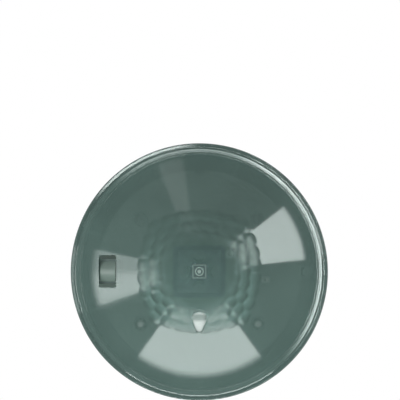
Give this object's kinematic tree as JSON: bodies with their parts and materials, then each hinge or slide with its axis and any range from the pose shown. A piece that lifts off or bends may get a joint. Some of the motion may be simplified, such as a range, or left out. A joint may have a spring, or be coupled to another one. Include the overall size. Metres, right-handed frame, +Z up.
{
  "type": "ceiling presence detector",
  "caption": "Round flush-box ceiling presence detector with a smoke-tinted faceted lens bell, clip-in base, board, heat sensors, two posts and a push-in bus terminal.",
  "frame": {"origin": "centre of the flat back face, which lies on the ceiling", "axes": "+Z up into the ceiling and along the posts, +X from the programming button towards the middle, +Y towards the light guide"},
  "size_m": [0.1056, 0.1056, 0.0566],
  "materials": {
    "smoked_lens": "glossy smoke-tinted translucent plastic",
    "housing_plastic": "dark grey-green plastic, fine satin",
    "white_plastic": "off-white moulded plastic",
    "terminal_black": "black terminal plastic",
    "terminal_red": "deep red terminal plastic",
    "tinned_metal": "tinned pin",
    "board_laminate": "lacquered board",
    "dark_screw": "blackened screw",
    "carrier_plastic": "dark moulded plastic",
    "sensor_can": "nickel-plated can",
    "sensor_window": "dark coated window",
    "clear_plastic": "clear polished plastic",
    "chip_black": "black moulded package",
    "lamp_white": "milky lamp body",
    "button_plastic": "satin grey-green plastic",
    "switch_metal": "pressed switch frame",
    "capacitor_sleeve": "shrink sleeve",
    "receiver_plastic": "pale moulded receiver"
  },
  "bodies": {
    "housing": {"lens_cover": "smoked_lens", "base_housing": "housing_plastic", "connector_block": "white_plastic", "mounting_post_left": "white_plastic", "mounting_post_right": "white_plastic", "bus_terminal_black": "terminal_black", "bus_terminal_red": "terminal_red", "terminal_pins": "tinned_metal", "circuit_board": "board_laminate", "board_screws": "dark_screw", "sensor_carrier": "carrier_plastic", "pyro_sensor_front": "sensor_can", "pyro_sensor_back": "sensor_can", "pyro_sensor_left": "sensor_can", "pyro_sensor_right": "sensor_can", "sensor_windows": "sensor_window", "light_pipe": "clear_plastic", "brightness_sensor": "chip_black", "light_guide": "clear_plastic", "status_led": "lamp_white", "button_guide": "carrier_plastic", "button_switch": "switch_metal", "programming_led": "lamp_white", "bus_transceiver": "chip_black", "microcontroller": "chip_black", "storage_capacitor": "capacitor_sleeve", "infrared_receiver": "receiver_plastic"},
    "button": {"programming_button": "button_plastic", "switch_plunger": "chip_black"}
  },
  "joints": [
    {"name": "button_press", "type": "slide", "parent": "housing", "child": "button", "axis": [0, 0, 1], "range_m": [0, 0.0005], "stiffness_N_per_m": 800, "springref_m": -0.001}
  ]
}
